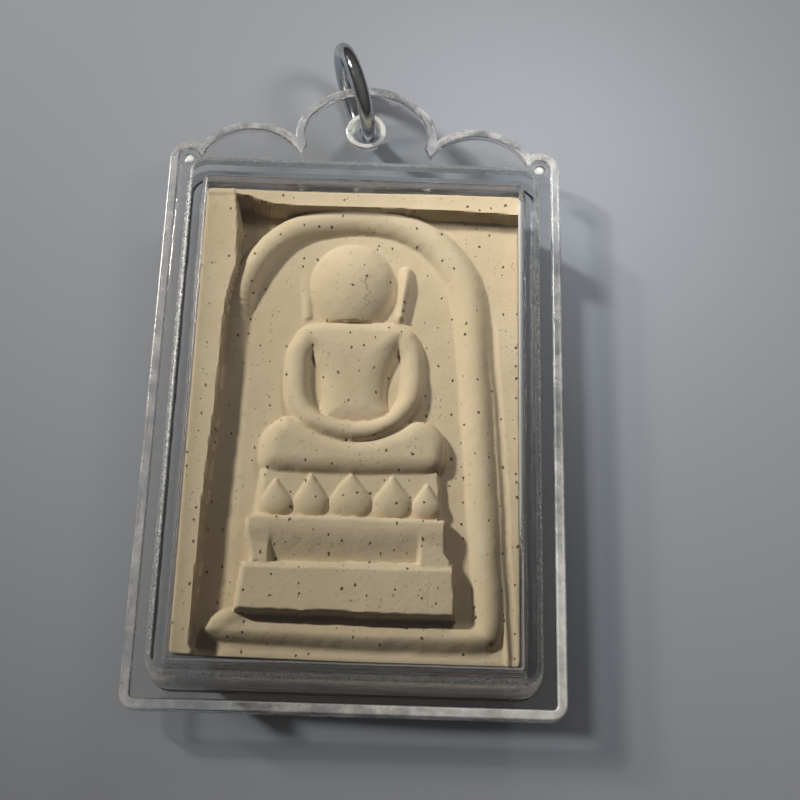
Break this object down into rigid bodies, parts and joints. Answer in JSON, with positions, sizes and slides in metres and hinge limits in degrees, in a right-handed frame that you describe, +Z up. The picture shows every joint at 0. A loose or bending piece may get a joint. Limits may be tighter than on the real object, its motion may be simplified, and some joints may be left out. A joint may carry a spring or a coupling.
{
  "type": "amulet pendant with a pressed plaster tablet in a clear acrylic case",
  "caption": "Pressed plaster tablet with a seated figure in relief, held in a clear acrylic case with a scalloped tab and a steel jump ring to hang it by.",
  "frame": {"origin": "middle of the pendant's outline, on the surface that its back lies on", "axes": "+Z up, out of the case's window; +Y towards the jump ring; +X to the right as the figure is seen"},
  "size_m": [0.031, 0.053, 0.0084],
  "materials": {
    "acrylic_back": "clear polished acrylic",
    "acrylic_front": "clear polished acrylic",
    "plaster": "matt pressed plaster with dark specks",
    "steel": "polished steel wire"
  },
  "bodies": {
    "case": {"case_back": "acrylic_back", "tablet": "plaster", "case_front": "acrylic_front"},
    "ring": {"jump_ring": "steel"}
  },
  "joints": [
    {"name": "ring_swing", "type": "hinge", "parent": "case", "child": "ring", "pos_m": [0, 0.01962, 0.0028], "axis": [0, 0, 1], "range_deg": [-70, 30]}
  ]
}
